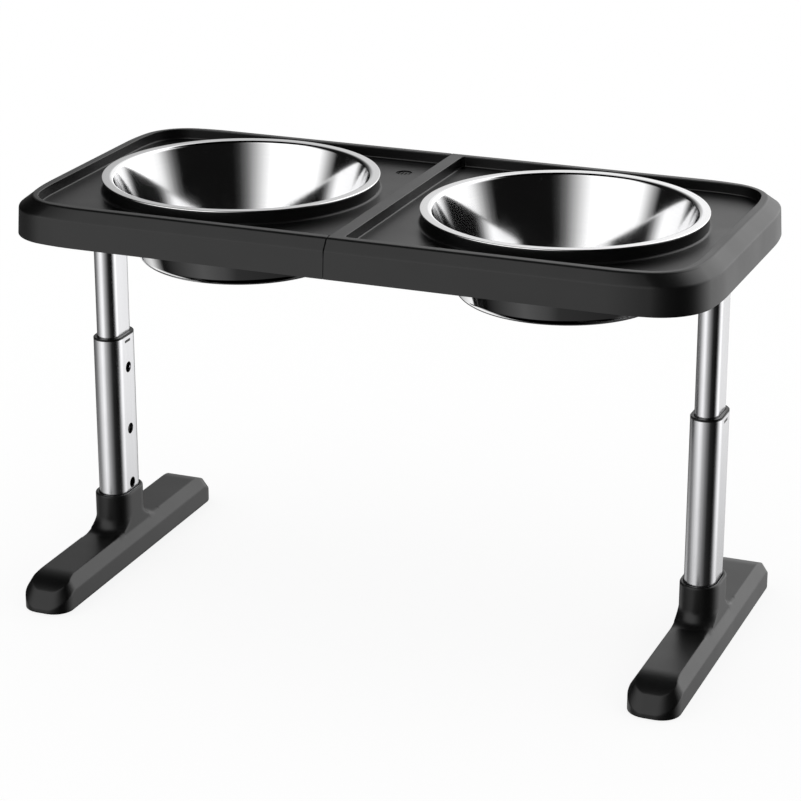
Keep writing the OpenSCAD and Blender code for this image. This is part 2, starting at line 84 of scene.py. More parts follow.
def new_piece(name):
    """An empty mesh object, left in edit mode."""
    if bpy.context.mode != "OBJECT":
        bpy.ops.object.mode_set(mode="OBJECT")
    bpy.ops.object.select_all(action="DESELECT")
    bpy.ops.mesh.primitive_plane_add(size=MM)
    piece = bpy.context.object
    piece.name = piece.data.name = name
    bpy.ops.object.mode_set(mode="EDIT")
    bpy.ops.mesh.select_mode(type="VERT")
    bpy.ops.mesh.delete(type="VERT")
    return piece


print("one unit in the sizes below is", MM, "m")

# %% [markdown]
# Nearly every piece here is a moulding, a pressing or a tube. Each could be carved out of a box, but a drawn line
# gives its section exactly, so each starts as a line: a plane is merged to a single point, and that point is extruded
# from corner to corner. Points, edges and faces are found again by their place, which is how a script selects.

# %% Selecting and drawing
REACH = 0.02


def at(*places):
    """A test for points that lie on one of the places."""
    return lambda x, y, z: any(math.dist((x, y, z), place) < REACH for place in places)


def pick(kind, test, only=None, skip=None, more=False):
    """Selects the verts, edges or faces that have all their points inside the test, unless all pass skip too."""
    bpy.ops.mesh.select_mode(type=kind)
    if not more:
        bpy.ops.mesh.select_all(action="DESELECT")
    mesh = bpy.context.object.data
    shape = bmesh.from_edit_mesh(mesh)
    for item in {"VERT": shape.verts, "EDGE": shape.edges, "FACE": shape.faces}[kind]:
        points = [point.co / MM for point in ([item] if kind == "VERT" else item.verts)]
        if all(test(*point) for point in points) and (only is None or only(item)):
            if skip is None or not all(skip(*point) for point in points):
                item.select_set(True)
    shape.select_flush_mode()
    bmesh.update_edit_mesh(mesh)


def join_picked(*places):
    """Makes an edge or a face between the points at the places."""
    pick("VERT", at(*places))
    bpy.ops.mesh.edge_face_add()


def draw(points, close=False):
    """A chain of edges through points, left selected."""
    bpy.ops.mesh.select_mode(type="VERT")
    bpy.ops.mesh.primitive_plane_add(size=MM)
    bpy.ops.mesh.merge(type="CENTER")
    bpy.ops.transform.translate(value=mm(*points[0]))
    for here, there in zip(points, points[1:]):
        step = mm(*[b - a for a, b in zip(here, there)])
        bpy.ops.mesh.extrude_vertices_move(TRANSFORM_OT_translate={"value": step})
    if close:
        join_picked(points[0], points[-1])
    bpy.ops.mesh.select_linked()


print("a point is found within", REACH, "mm of its place")

# %% [markdown]
# A line becomes a surface when it is extruded along straights and spun round corners. Its own corners are rounded
# before that, with a bevel on single points: the bevel is given the length that an arc of the wanted radius takes up.

# %% Rounding, extruding and spinning
SPIN_STEPS = 96


def round_corner(place, radius, steps=4):
    """Rounds one corner of a drawn line with an arc of the given radius."""
    pick("VERT", at(place))
    shape = bmesh.from_edit_mesh(bpy.context.object.data)
    corner = next(point for point in shape.verts if point.select)
    ways = [edge.other_vert(corner).co - corner.co for edge in corner.link_edges]
    bend = math.pi - ways[0].angle(ways[1])
    bpy.ops.mesh.bevel(offset_type="OFFSET", offset=radius * MM * math.tan(bend / 2), segments=steps,
                       profile=0.5, affect="VERTICES")
    bpy.ops.mesh.select_linked()


def draw_rounded(places, rounds):
    """Draws a line and rounds corners of it, each given by its number, its radius and perhaps its steps."""
    draw(places)
    for number, radius, *steps in rounds:
        round_corner(places[number], radius, *steps)


def along(x, y, z=0.0):
    """Extrudes the selected line by a straight step."""
    bpy.ops.mesh.extrude_region_move(TRANSFORM_OT_translate={"value": mm(x, y, z)})


def turn(x, y, degrees, steps):
    """Spins the selected line about an upright axis. Seen from above, a positive angle turns left."""
    bpy.ops.mesh.spin(steps=steps, angle=math.radians(-degrees), center=mm(x, y, 0), axis=(0, 0, 1))


def spin_round(x, steps=SPIN_STEPS):
    """Spins the selected line all the way round an upright axis in the middle of the stand's depth."""
    bpy.ops.mesh.spin(steps=steps, angle=math.tau, center=mm(x, 0, 0), axis=(0, 0, 1))


print("one step of a spin is", 360 / SPIN_STEPS, "degrees")

# %% [markdown]
# Spinning can turn a surface inside out and leaves its first and last points double. Doubles are merged first, as
# only then do all faces hang together, and the normals are made to agree after that. An open sheet has no outside, so
# there some faces that are known to look up decide.

# %% Doubles and normals
def weld(reach=NEAR):
    bpy.ops.mesh.select_all(action="SELECT")
    bpy.ops.mesh.remove_doubles(threshold=reach * MM)


def outward():
    """Merges doubles, turns all faces outwards and leaves edit mode."""
    weld()
    bpy.ops.mesh.normals_make_consistent(inside=False)
    bpy.ops.object.mode_set(mode="OBJECT")


def face_out(test, way):
    """Makes all faces of an open sheet agree, with the picked ones looking along the way given."""
    bpy.ops.mesh.select_all(action="SELECT")
    bpy.ops.mesh.normals_make_consistent(inside=False)
    pick("FACE", test)
    shape = bmesh.from_edit_mesh(bpy.context.object.data)
    facing = sum(face.normal.dot(way) * face.calc_area() for face in shape.faces if face.select)
    bpy.ops.mesh.select_all(action="SELECT")
    if facing < 0:
        bpy.ops.mesh.flip_normals()


print("doubles are merged within", NEAR, "mm")

# %% [markdown]
# Modifiers are applied at once, as the export needs plain meshes. A finished piece gets smooth shading with its
# sharp edges kept. Weighted normals make large flat faces look flat beside small rounds, which plain smooth shading
# would bend.

# %% Modifiers and finished pieces
def make_active(piece, *others):
    bpy.ops.object.select_all(action="DESELECT")
    for each in (piece, *others):
        each.select_set(True)
    bpy.context.view_layer.objects.active = piece


def use(kind, **settings):
    """Adds a modifier to the active piece and applies it."""
    bpy.ops.object.mode_set(mode="OBJECT")
    piece = bpy.context.object
    made = piece.modifiers.new(kind, kind)
    for name, value in settings.items():
        setattr(made, name, value)
    bpy.ops.object.modifier_apply(modifier=made.name)


def cut(piece, cutter):
    """Cuts one mesh out of another and removes the cutter."""
    make_active(piece)
    use("BOOLEAN", object=cutter, operation="DIFFERENCE", solver="EXACT")
    bpy.data.objects.remove(cutter)


def complete(piece, body, nodes, smooth=32):
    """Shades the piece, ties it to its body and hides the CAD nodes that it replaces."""
    bpy.ops.object.mode_set(mode="OBJECT")
    bpy.ops.object.shade_smooth_by_angle(angle=math.radians(smooth))
    use("WEIGHTED_NORMAL", keep_sharp=True)
    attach(piece, body)
    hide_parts(*nodes)
    print(piece.name, len(piece.data.polygons), "faces")


print(len(frame["nodes"]), "CAD nodes to replace or dress")

# %% [markdown]
# The tray is injection moulded in two halves that meet left of the rib. Its skirt leans in a little, a bevel runs
# up to a narrow flat rim, and the deck lies sunk inside it. A box with insets would give all of these the same
# corners. On the real tray skirt, rim edge and inner wall have corners of their own, so each has its own half length,
# half width and corner radius here. What the CAD part fixes is read from its boxes.

# %% Sizes of the tray
left_low, left_high = in_mm(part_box("left_tray"))
TRAY_Z = left_low[2]
SEAM_X = left_high[0]
SKIRT = {"half_l": -left_low[0], "half_w": 146.8, "corner": 54.7, "ease": 200.0}
RIM = {"half_l": 288.1, "half_w": 138.6, "corner": 50.2, "ease": 180.0}
WALL = {"half_l": 281.4, "half_w": 131.4, "corner": 38.5, "ease": 150.0}
SHELL = 2.8
SKIRT_TOP, SKIRT_LEAN = 22.4, 1.3
RIM_TOP, DECK = 31.95, 22.8
RIB, RIB_CORNER = 12.0, 4.0
# Swept strips on both sides of an edge, which leave room for its round
OVER_BEVEL, STRIP_SIDE, DECK_SIDE = 1.8, 1.7, 2.6
SKIRT_ROUND, RIM_ROUND, WALL_ROUND, DECK_ROUND = 2.4, 3.0, 0.8, 1.5
SEAM_GAP, SEAM_ROUND, SEAM_STRIP = 0.6, 0.5, 3.0
SEAM_IN = WALL["half_w"] + 1.0
bowl_low, bowl_high = in_mm(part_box("right_bowl"))
BOWL_X = (bowl_low[0] + bowl_high[0]) / 2
FLANGE_R = (bowl_high[0] - bowl_low[0]) / 2
FLANGE_OVER, SEAT_W = 1.2, 5.0
COLLAR_R = FLANGE_R - FLANGE_OVER
SEAT_R = COLLAR_R - SEAT_W
COLLAR_TOP, COLLAR_ROUND = 33.5, 0.8
COLLAR_FOOT, COLLAR_FILLET = 2.5, 2.4
print("tray", 2 * round(SKIRT["half_l"], 1), "x", 2 * SKIRT["half_w"], "mm, bowls at", round(BOWL_X, 1), "mm")

# %% [markdown]
# A bevel on an upright edge would give a plain quarter circle, which makes a corner look stuck on. On the real tray
# the long edges start to turn well before the corner, so each corner is three arcs: a wide one, a tight one and a wide
# one again. The tight radius is worked out so that the corner still cuts off as much of the diagonal as a plain arc of
# the given radius would.

# %% Corners of the tray
EASE_TURN, EASE_STEPS, TIGHT_STEPS = 10, 4, 14


def level(inset_and_height, x, half_w):
    """Place of a profile point on the front side of the tray."""
    inset, height = inset_and_height
    return (x, inset - half_w, TRAY_Z + height)


def soft_corner(half_l, half_w, corner, ease):
    """Length of a corner along its sides, and the centre, angle and steps of its three arcs."""
    sine, cosine, half = math.sin(math.radians(EASE_TURN)), math.cos(math.radians(EASE_TURN)), math.sqrt(0.5)
    tight = (corner * (1 - half) - ease * (1 - cosine)) / (cosine - half)
    run = ease * (sine + 1 - cosine) + tight * (cosine - sine)
    middle = (half_l - run + (ease - tight) * sine, ease - half_w - (ease - tight) * cosine)
    return run, [(half_l - run, ease - half_w, EASE_TURN, EASE_STEPS),
                 (*middle, 90 - 2 * EASE_TURN, TIGHT_STEPS),
                 (half_l - ease, run - half_w, EASE_TURN, EASE_STEPS)]


def round_end(side, run, arcs, half_w):
    """Takes the selected line round both corners of one end."""
    for x, y, degrees, steps in arcs:
        turn(side * x, y, side * degrees, steps)
    along(0, 2 * (half_w - run))
    for x, y, degrees, steps in reversed(arcs):
        turn(side * x, -y, side * degrees, steps)


print("a skirt corner takes", round(soft_corner(**SKIRT)[0], 1), "mm of each side")

# %% [markdown]
# Every edge of the tray is a short profile that runs round it. A curve with a bevel object could do that, but its
# corners twist, so the profile is extruded and spun in steps. The right half's inner wall closes on itself along the
# rib. All other edges start and end at the seam.

# %% Sweeping round the tray
RIB_STEPS = 6


def sweep(profile, rounds, seam, side, half_l, half_w, corner, ease):
    """Sweeps a profile from the seam along the front, round the end and back along the other side."""
    draw_rounded([level(point, seam, half_w) for point in profile], rounds)
    run, arcs = soft_corner(half_l, half_w, corner, ease)
    strip = side * SEAM_STRIP
    straight = side * (half_l - run) - seam - strip
    along(strip, 0)
    along(straight, 0)
    round_end(side, run, arcs, half_w)
    along(-straight, 0)
    along(-strip, 0)


def sweep_closed(profile, rounds, half_l, half_w, corner, ease):
    """Sweeps the inner wall of the right half all the way round, past the rib."""
    middle = (RIB / 2 + half_l) / 2
    draw_rounded([level(point, middle, half_w) for point in profile], rounds)
    run, arcs = soft_corner(half_l, half_w, corner, ease)
    to_end = half_l - run - middle
    rib_x, rib_y = RIB / 2 + RIB_CORNER, half_w - RIB_CORNER
    to_rib = middle - rib_x
    along(to_end, 0)
    round_end(1, run, arcs, half_w)
    along(-to_end - to_rib, 0)
    turn(rib_x, rib_y, 90, RIB_STEPS)
    along(0, -2 * rib_y)
    turn(rib_x, -rib_y, 90, RIB_STEPS)
    along(to_rib, 0)


print("the rib is", RIB, "mm wide")

# %% [markdown]
# Now the two halves are put together from swept edges. What lies between them is flat, so it is bridged or filled
# between open edges, and these are found by their height. A narrow strip is set along the seam before a fill, so that
# the fill's triangles don't run into the edge that is rounded later.

# %% Finding and filling open edges
def at_height(height):
    return lambda x, y, z: abs(z - TRAY_Z - height) < NEAR


def at_seam(seam):
    return lambda x, y, z: abs(x - seam) < NEAR


def loose(edge):
    return edge.is_boundary or edge.is_wire


def fill_level(height, seam):
    """Fills the open edges at a height, apart from those on the seam."""
    pick("EDGE", at_height(height), only=loose, skip=at_seam(seam))
    pick("EDGE", at_height(height), only=lambda edge: edge.is_wire, more=True)
    bpy.ops.mesh.fill()


def seam_strip(seam, side, half, height):
    """A narrow face along the seam, so that the fill beside it keeps away from the seam's edge."""
    join_picked(*[(x, end * half, TRAY_Z + height) for x in (seam, seam + side * SEAM_STRIP) for end in (-1, 1)])


print("seam at", round(SEAM_X, 1), "mm, gap", SEAM_GAP, "mm")

# %% [markdown]
# The bevel between skirt and rim is wider at the ends of the tray than at its sides, so one profile can't hold it.
# Skirt and rim edge are swept with a little of the bevel on them, and the rest of it is bridged between the two. The
# inner wall comes next. On the left half it ends at the seam. On the right half it closes round the deck, and the flat
# top of rim and rib is filled.

# %% Walls of a tray half
def outer_wall(side, seam):
    run = SKIRT["half_w"] - SKIRT_LEAN - RIM["half_w"]
    rise = RIM_TOP - SKIRT_TOP
    over = [OVER_BEVEL * part / math.hypot(run, rise) for part in (run, rise)]
    skirt = [(0, 0), (SKIRT_LEAN, SKIRT_TOP), (SKIRT_LEAN + over[0], SKIRT_TOP + over[1])]
    rim = [(-over[0], RIM_TOP - over[1]), (0, RIM_TOP), (STRIP_SIDE, RIM_TOP)]
    sweep(skirt, [(1, SKIRT_ROUND)], seam, side, **SKIRT)
    sweep(rim, [(1, RIM_ROUND)], seam, side, **RIM)
    pick("EDGE", at_height(skirt[2][1]), skip=at_seam(seam))
    pick("EDGE", at_height(rim[0][1]), skip=at_seam(seam), more=True)
    bpy.ops.mesh.bridge_edge_loops()


def inner_wall(side, seam):
    wall = [(-STRIP_SIDE, RIM_TOP), (0, RIM_TOP), (0, DECK), (DECK_SIDE, DECK)]
    rounds = [(1, WALL_ROUND), (2, DECK_ROUND)]
    if side < 0:
        sweep(wall, rounds, seam, side, **WALL)
        pick("EDGE", at_height(RIM_TOP), only=loose, skip=at_seam(seam))
        bpy.ops.mesh.bridge_edge_loops()
        seam_strip(seam, side, WALL["half_w"] - DECK_SIDE, DECK)
    else:
        sweep_closed(wall, rounds, **WALL)
        weld()
        seam_strip(seam, side, RIM["half_w"] - STRIP_SIDE, RIM_TOP)
        fill_level(RIM_TOP, seam)


print("the bevel is", round(SKIRT["half_w"] - SKIRT_LEAN - RIM["half_w"], 1), "mm wide at the sides")

# %% [markdown]
# Each bowl hangs in a raised collar. It could be added with a boolean, but a spun line keeps the sheet in one piece,
# because the deck can be filled right up to it. A plate closes the half at the seam, and the outside of the seam gets
# a small round, as it shows as a fine groove.

# %% Collar and seam
def sharp(edge):
    return edge.calc_face_angle(0.0) > math.radians(20)


def collar(side):
    section = ((COLLAR_FOOT, DECK), (0, DECK), (0, COLLAR_TOP), (SEAT_R - COLLAR_R, COLLAR_TOP))
    places = [(side * BOWL_X + COLLAR_R + out, 0, TRAY_Z + height) for out, height in section]
    draw_rounded(places, [(1, COLLAR_FILLET), (2, COLLAR_ROUND)])
    spin_round(side * BOWL_X)
    weld()


def seam_plate(seam):
    join_picked(*[(seam, end * SKIRT["half_w"], TRAY_Z) for end in (-1, 1)])
    pick("EDGE", at_seam(seam), only=loose)
    bpy.ops.mesh.edge_face_add()
    weld()


def round_seam(seam):
    on_seam = at_seam(seam)
    pick("EDGE", lambda x, y, z: on_seam(x, y, z) and z > TRAY_Z + NEAR and abs(y) > SEAM_IN, only=sharp)
    bpy.ops.mesh.bevel(offset=SEAM_ROUND * MM, segments=2, affect="EDGES")


print("collar radius", round(COLLAR_R, 1), "mm")

# %% [markdown]
# The pieces of one half come together as a thin sheet, and Solidify gives it the even wall of a moulding. An inner
# skin could be drawn as well, but this way every wall has the same thickness. Inside rounds that are smaller than the
# wall the inner skin folds up to next to nothing, so what is left of these faces is merged away.

# %% Shell of a tray half
MERGE_FOLDS, MERGE_FLAT = 0.05, 0.02


def tray_shell(side, name):
    piece = new_piece(name + "_tray_shell")
    seam = SEAM_X + side * SEAM_GAP / 2
    outer_wall(side, seam)
    inner_wall(side, seam)
    collar(side)
    fill_level(DECK, seam)
    seam_plate(seam)
    face_out(at_height(DECK), (0, 0, 1))
    round_seam(seam)
    use("SOLIDIFY", thickness=SHELL * MM, offset=-1, use_even_offset=True)
    bpy.ops.object.mode_set(mode="EDIT")
    weld(MERGE_FOLDS)
    bpy.ops.mesh.dissolve_degenerate(threshold=MERGE_FLAT * MM)
    bpy.ops.object.mode_set(mode="OBJECT")
    return piece


trays = [tray_shell(side, name) for side, name in SIDES]
print([(shell.name, len(shell.data.polygons)) for shell in trays])

# %% [markdown]
# The legs are tubes of slot section, two straight sides with a half round at each end, and the tray has sockets of the
# same shape. A bevelled box would come close, but a line that is extruded and spun gives true half rounds. Two such
# lines are bridged to a flat ring, and the ring is extruded to a tube.

# %% Slots and tubes
SLOT_STEPS = 16


def close_line():
    """Merges the two ends of a line that has come back to its start."""
    bpy.ops.mesh.select_linked()
    bpy.ops.mesh.remove_doubles(threshold=NEAR * MM)


def slot_line(x, z, w, l, y=0.0, steps=SLOT_STEPS):
    """A closed line in the shape of a slot with straight sides along Y, left selected."""
    straight = (l - w) / 2
    draw([(x + w / 2, y - straight, z), (x + w / 2, y + straight, z)])
    pick("VERT", at((x + w / 2, y + straight, z)))
    turn(x, y + straight, 180, steps)
    along(0, -2 * straight)
    turn(x, y - straight, 180, steps)
    close_line()


def slot_tube(x, z0, z1, w, l, wall):
    """An upright tube of slot section."""
    slot_line(x, z0, w - 2 * wall, l - 2 * wall)
    slot_line(x, z0, w, l)
    pick("EDGE", lambda px, py, pz: abs(pz - z0) < NEAR and abs(px - x) < w, only=lambda edge: edge.is_wire)
    bpy.ops.mesh.bridge_edge_loops()
    along(0, 0, z1 - z0)


print("one step of a slot's end is", 180 / SLOT_STEPS, "degrees")

# %% [markdown]
# Webs, bosses and all cutters are blocks and round bars. Cubes and cylinders would do, but an outline that is drawn
# and extruded stands at its place from the start, with nothing to scale or turn afterwards.

# %% Blocks and bars
BAR_STEPS = 40


def plate(low, high):
    """A block between two corners, for webs and windows."""
    corners = [(low[0], low[1]), (high[0], low[1]), (high[0], high[1]), (low[0], high[1])]
    draw([(x, y, low[2]) for x, y in corners], close=True)
    bpy.ops.mesh.edge_face_add()
    along(0, 0, high[2] - low[2])


def disc(centre, radius, axis, depth):
    """A round bar from its centre along an axis."""
    offset = (radius, 0, 0) if axis != (1, 0, 0) else (0, radius, 0)
    draw([[c + o for c, o in zip(centre, offset)]])
    bpy.ops.mesh.spin(steps=BAR_STEPS, angle=math.tau, center=mm(*centre), axis=axis)
    close_line()
    bpy.ops.mesh.edge_face_add()
    along(*[depth * part for part in axis])


print("one step of a bar is", 360 / BAR_STEPS, "degrees")

# %% [markdown]
# Under the deck each half has a socket for its leg, a ring that stiffens the bowl hole, and webs from the socket to
# the front and back walls. A boolean could melt them into the shell, but nobody sees where they meet, so they are one
# mesh that is joined to it, and each reaches a little into the wall it stands on. The right half also has a tongue of
# thin plates that reaches into the seam and closes the gap, so that no light from behind shows through.

# %% Underside of a tray half
SLEEVE_T, SLEEVE_Z, PUSH_GAP = 3.0, 1.0, 0.2
BOSS_R, BOSS_L, BOSS_IN, SCREW_Z = 5.0, 3.5, 2.0, 6.0
WEB_T, WEB_H = 2.2, 9.5
RING_T, RING_DROP = 3.0, 8.0
TONGUE_IN, TONGUE_FIT = 6.0, 0.03
LAP, SIDE_LAP = 0.5, 1.0
DECK_UNDER = DECK - SHELL
upper_low, upper_high = in_mm(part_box("right_upper_tube"))
LEG_X = (upper_low[0] + upper_high[0]) / 2
UPPER_W, UPPER_L = upper_high[0] - upper_low[0], upper_high[1] - upper_low[1]


def leg_socket(leg, under):
    sleeve_w, sleeve_l = [size + 2 * (PUSH_GAP + SLEEVE_T) for size in (UPPER_W, UPPER_L)]
    slot_tube(leg, TRAY_Z + SLEEVE_Z, under + LAP, sleeve_w, sleeve_l, SLEEVE_T)
    for end in (-1, 1):
        disc((leg, end * (sleeve_l / 2 - BOSS_IN), TRAY_Z + SCREW_Z), BOSS_R, (0, 1, 0), end * BOSS_L)
        web = sorted((end * (sleeve_l / 2 - SIDE_LAP), end * (WALL["half_w"] + SIDE_LAP)))
        plate((leg - WEB_T / 2, web[0], under - WEB_H), (leg + WEB_T / 2, web[1], under + LAP))


def seam_tongue():
    near, far = SEAM_X - SEAM_GAP / 2 + TONGUE_FIT, SEAM_X + SEAM_GAP
    reach = SKIRT["half_w"] - TONGUE_IN
    plate((near, -reach, TRAY_Z + SLEEVE_Z), (far, reach, TRAY_Z + DECK - SEAM_GAP))
    for end in (-1, 1):
        rise = sorted((end * (WALL["half_w"] + SIDE_LAP), end * (RIM["half_w"] - SIDE_LAP)))
        plate((near, rise[0], TRAY_Z + DECK - SIDE_LAP), (far, rise[1], TRAY_Z + RIM_TOP - SIDE_LAP))


def hole_ring(side, under):
    inner, low, high = COLLAR_R - RING_T, under - RING_DROP, under + LAP
    section = ((inner, low), (COLLAR_R, low), (COLLAR_R, high), (inner, high))
    draw([(side * BOWL_X + r, 0, z) for r, z in section], close=True)
    spin_round(side * BOWL_X)


def tray_underside(side):
    made = new_piece("underside")
    under = TRAY_Z + DECK_UNDER
    leg_socket(side * LEG_X, under)
    if side > 0:
        seam_tongue()
    hole_ring(side, under)
    outward()
    return made


print("legs at", round(LEG_X, 1), "mm, upper tube", round(UPPER_W, 1), "x", round(UPPER_L, 1), "mm")

# %% [markdown]
# Each deck has a drain near the rib, a shallow round dimple with four slots in it. Insets on the deck's one large face
# would need an outline there first, so both are cut. That takes two booleans, one after the other, because the parts
# of one cutter may not run through each other.

# %% Drain, and the finished tray halves
DIMPLE_X, DIMPLE_Y, DIMPLE_R, DIMPLE_D = 33.5, 94.0, 7.0, 0.8
SLOTS, SLOT_W, SLOT_PITCH, SLOT_END_STEPS = 4, 1.2, 3.0, 6
SLOT_BELOW, SLOT_ABOVE = 1.0, 0.5


def dimple_cutter(side):
    made = new_piece("dimple")
    disc((side * DIMPLE_X, DIMPLE_Y, TRAY_Z + DECK - DIMPLE_D), DIMPLE_R, (0, 0, 1), 2 * DIMPLE_D)
    outward()
    return made


def slot_cutter(side):
    made = new_piece("slots")
    for number in range(SLOTS):
        x = side * DIMPLE_X + (number - (SLOTS - 1) / 2) * SLOT_PITCH
        slot_line(x, TRAY_Z + DECK_UNDER - SLOT_BELOW, SLOT_W, DIMPLE_R, DIMPLE_Y, SLOT_END_STEPS)
        bpy.ops.mesh.edge_face_add()
        along(0, 0, SHELL + SLOT_ABOVE)
    outward()
    return made


for shell, (side, name) in zip(trays, SIDES):
    cut(shell, dimple_cutter(side))
    cut(shell, slot_cutter(side))
    make_active(shell, tray_underside(side))
    bpy.ops.object.join()
    complete(shell, "tray", [name + "_tray"])

# %% [markdown]
# A bowl is one disc of sheet steel, drawn deep and hemmed at the rim. A cylinder with insets would do for the form,
# but here the radii of rim, mouth and bottom make the reflections. So the section is drawn with these radii, outside
# and inside, and spun round the bowl's own axis, in more steps than the rest because a mirror shows every facet.

# %% Bowls
WALL_LEAN = math.radians(17.2)
MOUTH_R, MOUTH_ROUND, MOUTH_STEPS = 108.7, 3.0, 5
BOTTOM_ROUND, BOTTOM_STEPS = 10.0, 10
FLANGE_T, SHEET = 1.6, 0.8
HEM_ROUND = FLANGE_T / 2 - NEAR
BOWL_STEPS = 128
BOWL_Z = bowl_low[2]
DEPTH = bowl_high[2] - BOWL_Z


def wall_r(height, inside=0.0):
    """Radius of the bowl's wall at a height above its underside."""
    return MOUTH_R - (DEPTH - FLANGE_T - height) * math.tan(WALL_LEAN) - inside / math.cos(WALL_LEAN)


def bowl(side, name):
    piece = new_piece(name + "_bowl_pressing")
    flange = DEPTH - FLANGE_T
    section = [(0, 0), (wall_r(0), 0), (wall_r(flange), flange), (FLANGE_R, flange), (FLANGE_R, DEPTH),
               (wall_r(DEPTH, SHEET), DEPTH), (wall_r(SHEET, SHEET), SHEET), (0, SHEET)]
    rounds = [(1, BOTTOM_ROUND, BOTTOM_STEPS), (2, MOUTH_ROUND), (3, HEM_ROUND), (4, HEM_ROUND),
              (5, MOUTH_ROUND + SHEET, MOUTH_STEPS), (6, BOTTOM_ROUND - SHEET, BOTTOM_STEPS)]
    draw_rounded([(side * BOWL_X + r, 0, BOWL_Z + z) for r, z in section], rounds)
    spin_round(side * BOWL_X, BOWL_STEPS)
    outward()
    complete(piece, name + "_bowl", [name + "_bowl"], smooth=60)
    return piece


bowls = [bowl(side, name) for side, name in SIDES]

# %% [markdown]
# The legs are extruded aluminium tubes of slot section. The lower tube has three round holes in its inner face for
# the snap button, and a small window on each side near its top for the bushing's tabs. Holes could be drawn into the
# outline of a flat sheet that is then rolled up. It is simpler to cut them with booleans, as a drill and a punch do.

# %% Tubes
lower_low, lower_high = in_mm(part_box("right_lower_tube"))
LOWER_W, LOWER_L = lower_high[0] - lower_low[0], lower_high[1] - lower_low[1]
LOWER_T, UPPER_T = 1.5, 1.2
HOLE_R, BUTTON_HOLE_R = 4.9, 4.7
HOLES_Z = (69.3, 120.7, 178.3)
BUTTON_Z = HOLES_Z[1]
WINDOW_L, WINDOW_H, WINDOW_DROP = 10.0, 2.4, 3.0


def tube(name, x, z0, z1, w, l, wall):
    piece = new_piece(name)
    slot_tube(x, z0, z1, w, l, wall)
    outward()
    return piece


def hole_cutter(x, inward, heights, radius):
    made = new_piece("holes")
    for z in heights:
        disc((x, 0, z), radius, (1, 0, 0), inward * LOWER_W)
    outward()
    return made


def window_cutter(x):
    made = new_piece("windows")
    top = lower_high[2] - WINDOW_DROP
    plate((x - LOWER_W, -WINDOW_L / 2, top - WINDOW_H), (x + LOWER_W, WINDOW_L / 2, top))
    outward()
    return made


tubes = []
for side, name in SIDES:
    leg = side * LEG_X
    upper = tube(name + "_upper_tube_alloy", leg, upper_low[2], upper_high[2], UPPER_W, UPPER_L, UPPER_T)
    cut(upper, hole_cutter(leg, -side, [BUTTON_Z], BUTTON_HOLE_R))
    complete(upper, "tray", [name + "_upper_tube"])
    lower = tube(name + "_lower_tube_alloy", leg, lower_low[2], lower_high[2], LOWER_W, LOWER_L, LOWER_T)
    cut(lower, hole_cutter(leg, -side, HOLES_Z, HOLE_R))
    cut(lower, window_cutter(leg))
    complete(lower, "base", [name + "_lower_tube"])
    tubes += [upper, lower]

# %% [markdown]
# Seen from above, the nose of a foot is two quarter rounds with a short straight between them, and its front leans
# back. A bevel can't lean and round at once, so the nose is cut. The cutter is what lies outside it: a leaning section
# is turned, extruded and turned again, which gives a ring in the shape of a U.

# %% Nose of a foot
NOSE_Y, NOSE_Z, NOSE_R, NOSE_FLAT, NOSE_LEAN = 141.8, 18.7, 19.0, 6.0, 60
NOSE_LOW, NOSE_HIGH, NOSE_STEPS = -1, 40, 24


def nose_cutter(x, end):
    """A leaning ring in the shape of a U, round the nose on one end of a foot."""
    y = end * (NOSE_Y - NOSE_R)
    near = [NOSE_R + (NOSE_Z - z) / math.tan(math.radians(NOSE_LEAN)) for z in (NOSE_LOW, NOSE_HIGH)]
    made = new_piece("nose")
    side, far = x + NOSE_FLAT, x + NOSE_FLAT + 2 * NOSE_R
    draw([(side + near[0], y, NOSE_LOW), (far, y, NOSE_LOW), (far, y, NOSE_HIGH), (side + near[1], y, NOSE_HIGH)],
         close=True)
    turn(side, y, end * 90, NOSE_STEPS)
    along(-2 * NOSE_FLAT, 0)
    turn(x - NOSE_FLAT, y, end * 90, NOSE_STEPS)
    for beside in (-1, 1):
        pick("EDGE", lambda px, py, pz: abs(py - y) < NEAR and (px - x) * beside > 0, only=loose)
        bpy.ops.mesh.edge_face_add()
    outward()
    return made


print("a nose is", 2 * (NOSE_R + NOSE_FLAT), "mm wide", NOSE_Z, "mm above the floor")

# %% [markdown]
# A foot is a hollow moulding whose socket runs softly into the bar. Its chamfers meet at odd angles, where bevels run
# into each other, so it isn't modelled from a box. A copy of the CAD solid gets its noses cut, is remeshed to small
# even faces and is smoothed, which rounds every edge as a mould does. Where the socket flares into the bar it is
# smoothed more. The flat stretches then need far fewer faces, so the mesh is thinned.

# %% Feet
FOOT_VOXEL, FOOT_PASSES, FOOT_KEPT = 0.62, 5, 0.3
FLARE_PASSES, SMOOTHING = 30, 0.5
FLARE_START, FLARE_END = LOWER_L / 2 + 2, LOWER_L / 2 + 22
FLARE_LOW, FLARE_HIGH, FLARE_BESIDE = 23, 46, 8


def beside_socket(x, y, z):
    """Where the flare of the socket runs into the edges of the bar."""
    return FLARE_START < abs(y) < FLARE_END and FLARE_LOW < z < FLARE_HIGH and abs(abs(x) - LEG_X) > FLARE_BESIDE


